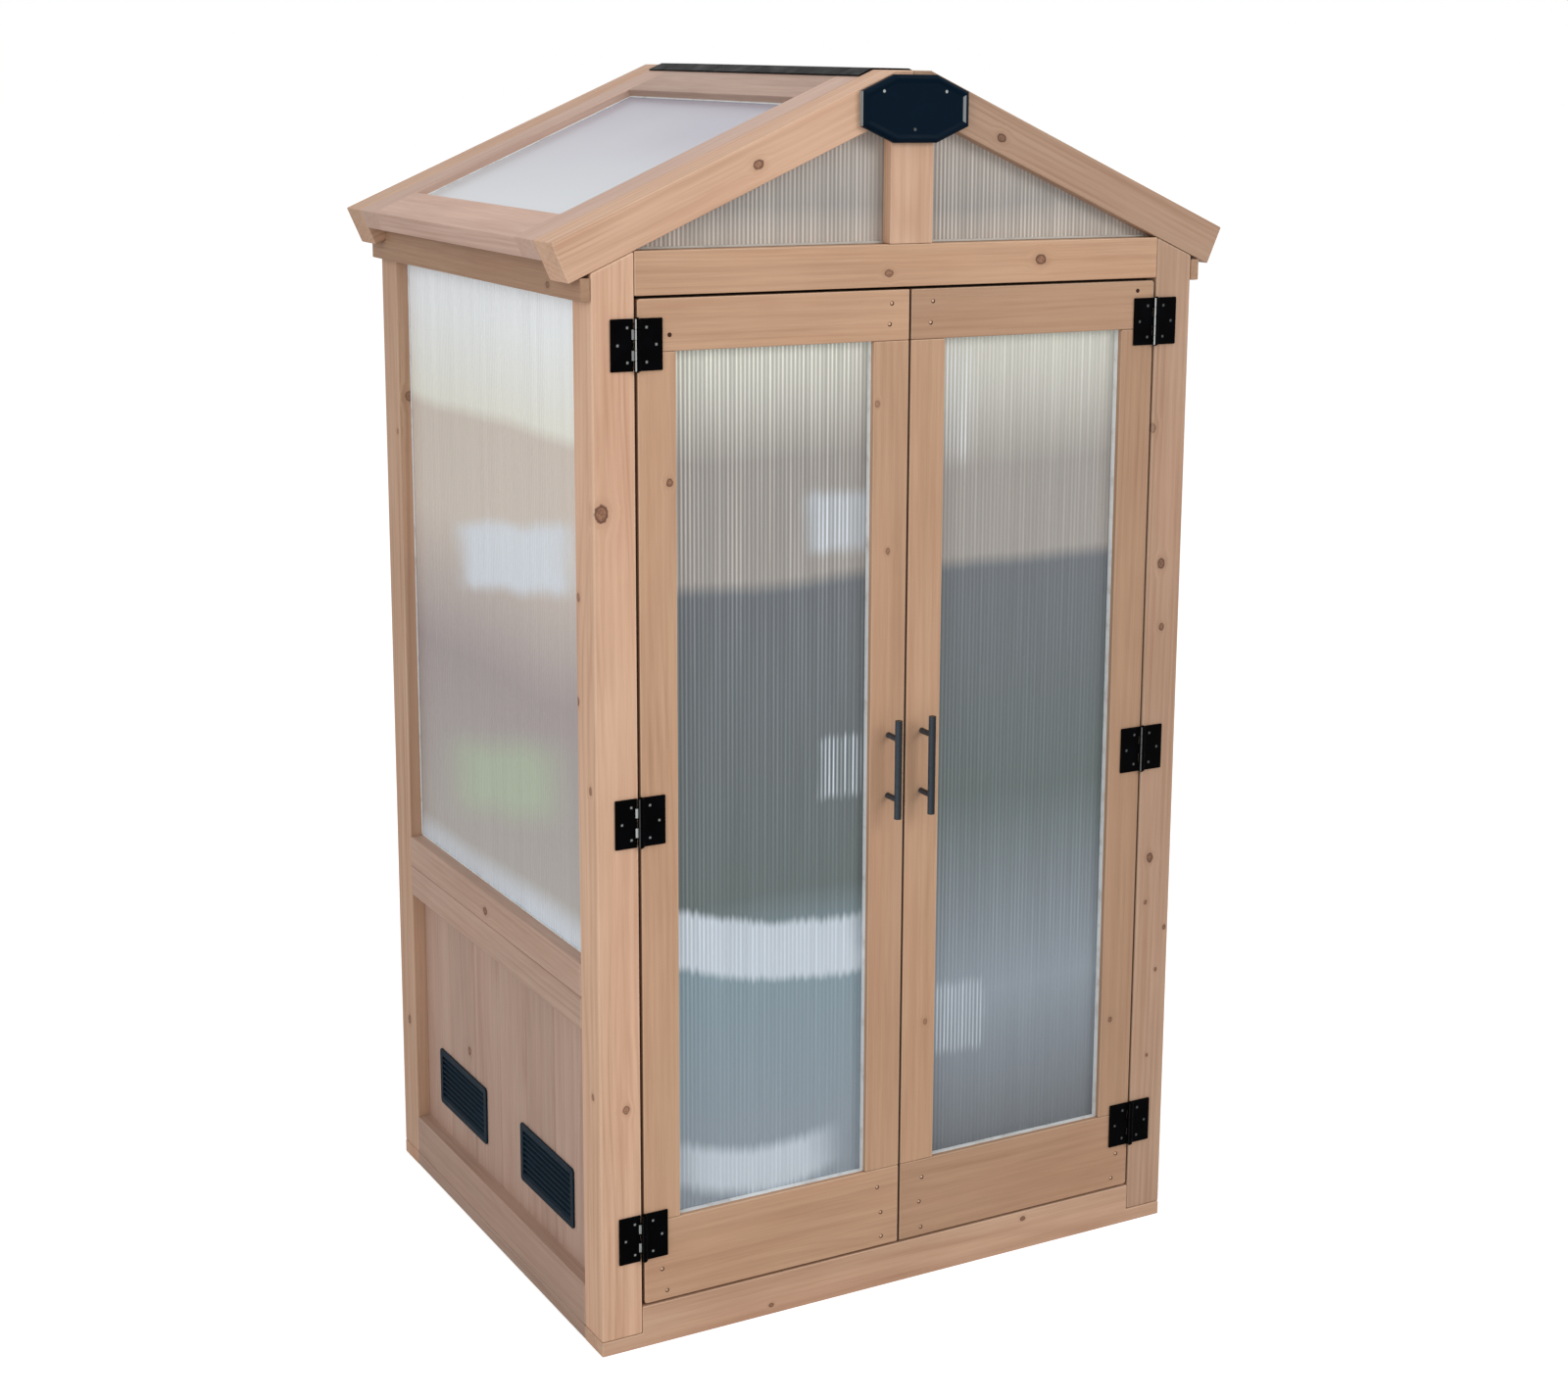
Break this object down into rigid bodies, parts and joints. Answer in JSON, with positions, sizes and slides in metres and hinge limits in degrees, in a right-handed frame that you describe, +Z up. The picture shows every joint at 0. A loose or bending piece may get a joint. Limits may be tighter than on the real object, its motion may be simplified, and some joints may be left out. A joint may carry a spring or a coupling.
{
  "type": "mini greenhouse",
  "caption": "Upright wooden cold house with an apex roof, translucent panes, boarded lower walls and a pair of hinged front doors.",
  "frame": {"origin": "on the ground, at the middle of the whole object's width and depth", "axes": "+X to the viewer's right when facing the doors, +Y from the doors towards the back wall, +Z up"},
  "size_m": [1, 0.791, 1.6746],
  "materials": {
    "timber": "planed softwood, light tan, thin sealer",
    "boarding": "planed softwood boards, light tan, thin sealer",
    "glazing": "translucent, satin",
    "black_steel": "satin black",
    "vent_plastic": "satin, near black with a blue-green cast",
    "ridge_strip": "satin black with bright specks",
    "gable_plate": "semi-gloss, dark navy"
  },
  "bodies": {
    "cabinet": {"front_sill": "timber", "back_sill": "timber", "door_lintel": "timber", "king_post": "timber", "back_boards": "boarding", "front_left_post": "timber", "back_left_post": "timber", "left_base_strip": "timber", "left_bottom_rail": "timber", "left_lower_mid_rail": "timber", "left_upper_mid_rail": "timber", "left_eave_beam": "timber", "left_side_pane": "glazing", "left_boards": "boarding", "left_front_vent": "vent_plastic", "left_back_vent": "vent_plastic", "front_right_post": "timber", "back_right_post": "timber", "right_base_strip": "timber", "right_bottom_rail": "timber", "right_lower_mid_rail": "timber", "right_upper_mid_rail": "timber", "right_eave_beam": "timber", "right_side_pane": "glazing", "right_boards": "boarding", "gable_pane": "glazing", "gable_plate": "gable_plate", "ridge_cap": "ridge_strip", "front_left_rake": "timber", "back_left_rake": "timber", "left_roof_frame": "timber", "left_roof_pane": "glazing", "front_right_rake": "timber", "back_right_rake": "timber", "right_roof_frame": "timber", "right_roof_pane": "glazing", "left_top_post_leaf": "black_steel", "left_middle_post_leaf": "black_steel", "left_bottom_post_leaf": "black_steel", "right_top_post_leaf": "black_steel", "right_middle_post_leaf": "black_steel", "right_bottom_post_leaf": "black_steel"},
    "left_door": {"left_hinge_stile": "timber", "left_meeting_stile": "timber", "left_door_top_rail": "timber", "left_door_bottom_rail": "timber", "left_door_pane": "glazing", "left_door_handle": "black_steel", "left_top_door_leaf": "black_steel", "left_middle_door_leaf": "black_steel", "left_bottom_door_leaf": "black_steel"},
    "right_door": {"right_hinge_stile": "timber", "right_meeting_stile": "timber", "right_door_top_rail": "timber", "right_door_bottom_rail": "timber", "right_door_pane": "glazing", "right_door_handle": "black_steel", "right_top_door_leaf": "black_steel", "right_middle_door_leaf": "black_steel", "right_bottom_door_leaf": "black_steel"}
  },
  "joints": [
    {"name": "left_door_hinge", "type": "hinge", "parent": "cabinet", "child": "left_door", "pos_m": [-0.39025, -0.3668, 0.7275], "axis": [0, 0, -1], "range_deg": [0, 170]},
    {"name": "right_door_hinge", "type": "hinge", "parent": "cabinet", "child": "right_door", "pos_m": [0.39025, -0.3668, 0.7275], "axis": [0, 0, 1], "range_deg": [0, 170]}
  ]
}
